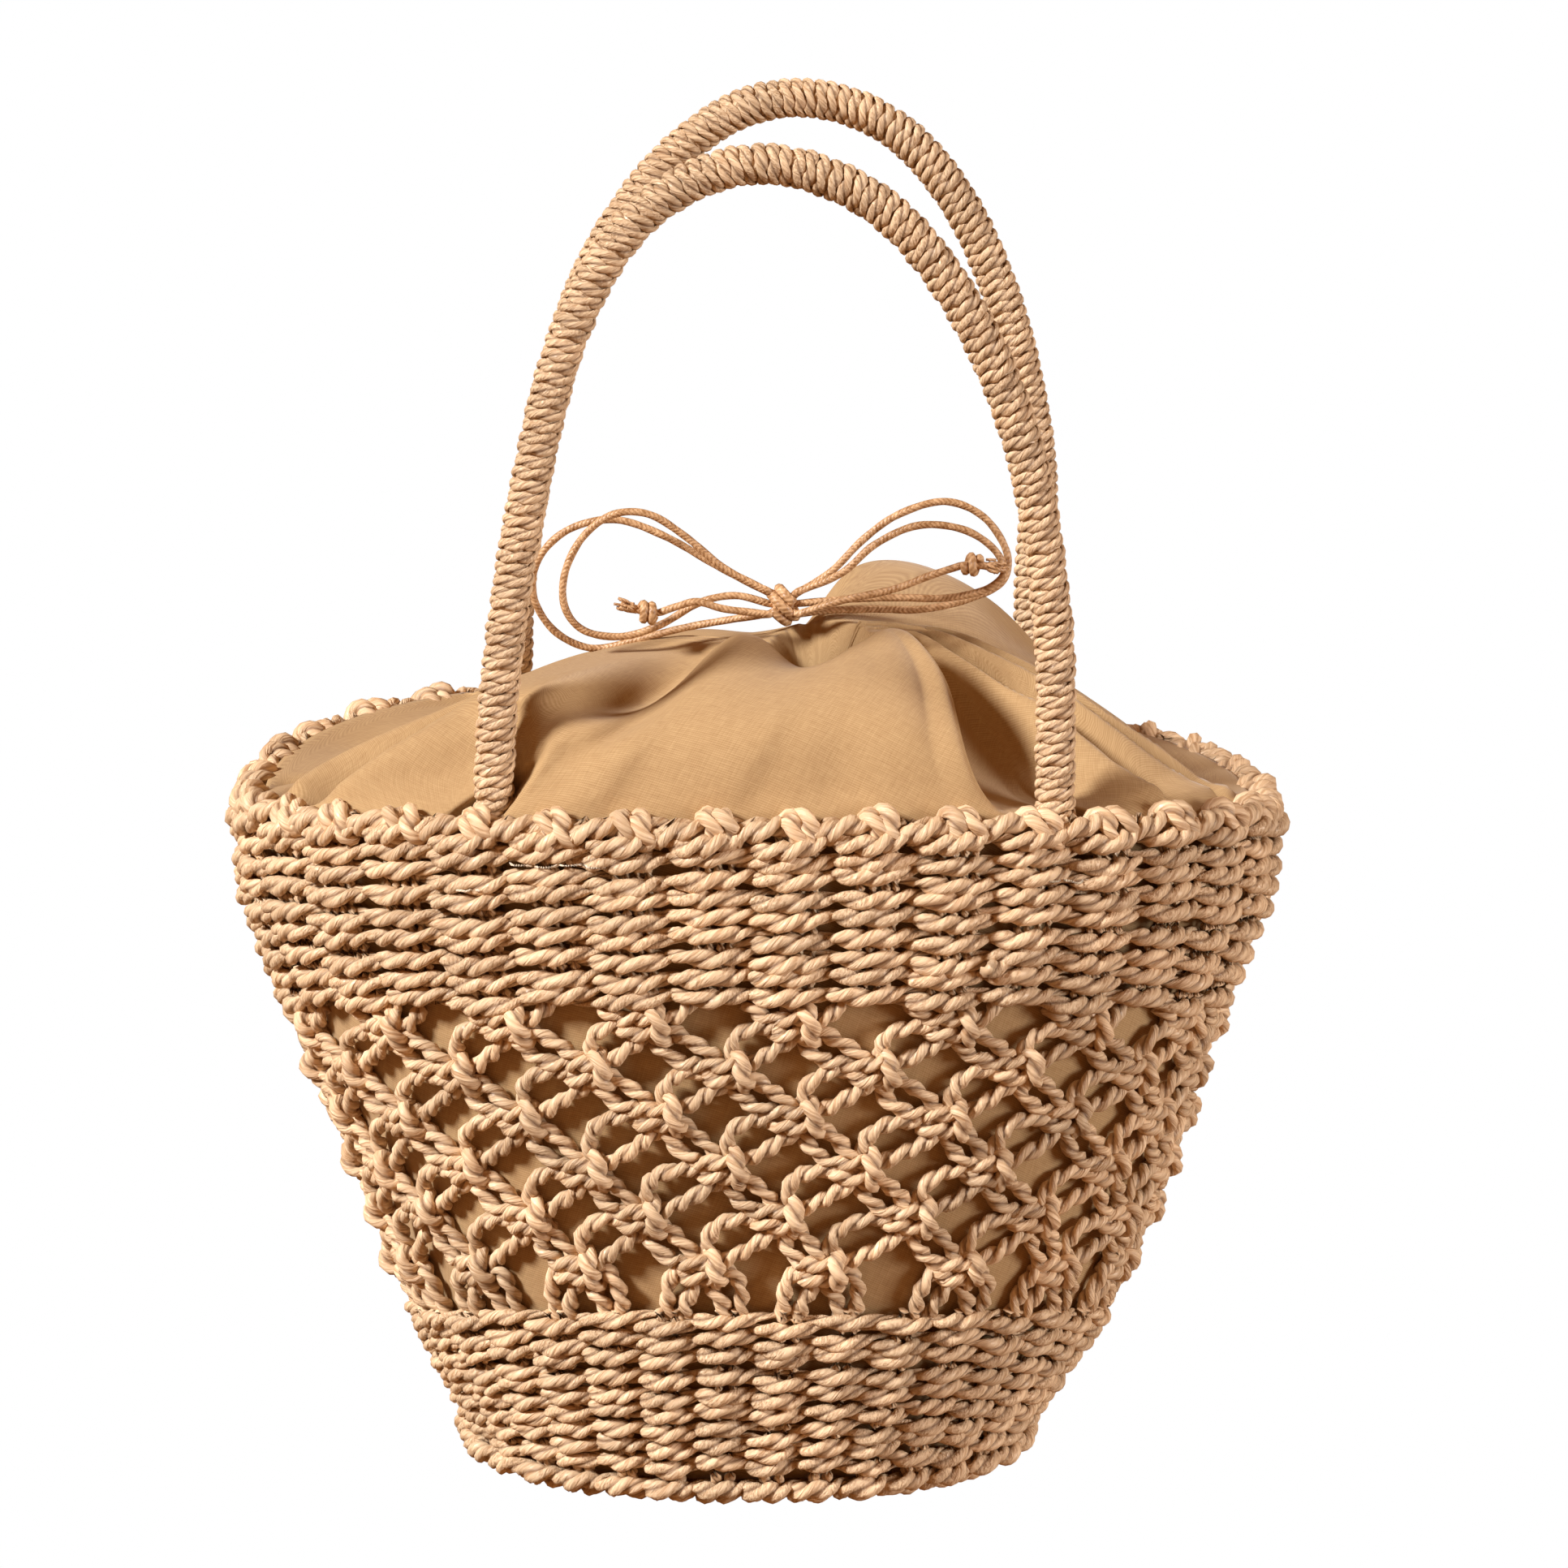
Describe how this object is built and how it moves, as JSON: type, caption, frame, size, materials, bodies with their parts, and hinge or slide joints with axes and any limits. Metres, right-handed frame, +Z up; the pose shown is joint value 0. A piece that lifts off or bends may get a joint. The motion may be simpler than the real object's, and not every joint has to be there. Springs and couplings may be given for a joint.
{
  "type": "twisted paper rope bucket bag with drawstring lining",
  "caption": "Open-net bucket bag of twined paper rope with two wound rope handles and a cotton drawstring pouch tied in a bow.",
  "frame": {"origin": "centre of the underside of the base, where the bag stands", "axes": "+Z up through the handles, +X to the bag's right seen from the front, -Y towards the front"},
  "size_m": [0.298, 0.203, 0.3888],
  "materials": {
    "paper_rope": "twisted kraft paper rope, satin",
    "cotton_lining": "plain woven cotton",
    "waxed_cord": "braided cotton cord, waxed"
  },
  "bodies": {
    "root": {"base_mat": "paper_rope", "foot_border": "paper_rope", "lower_band": "paper_rope", "net_band": "paper_rope", "upper_band": "paper_rope", "rim_braid": "paper_rope", "front_handle": "paper_rope", "back_handle": "paper_rope", "lining": "cotton_lining", "bow_knot": "waxed_cord", "left_end_knot": "waxed_cord", "right_end_knot": "waxed_cord", "left_outer_loop": "waxed_cord", "left_inner_loop": "waxed_cord", "right_outer_loop": "waxed_cord", "right_inner_loop": "waxed_cord", "left_tail": "waxed_cord", "right_tail": "waxed_cord"}
  },
  "joints": []
}
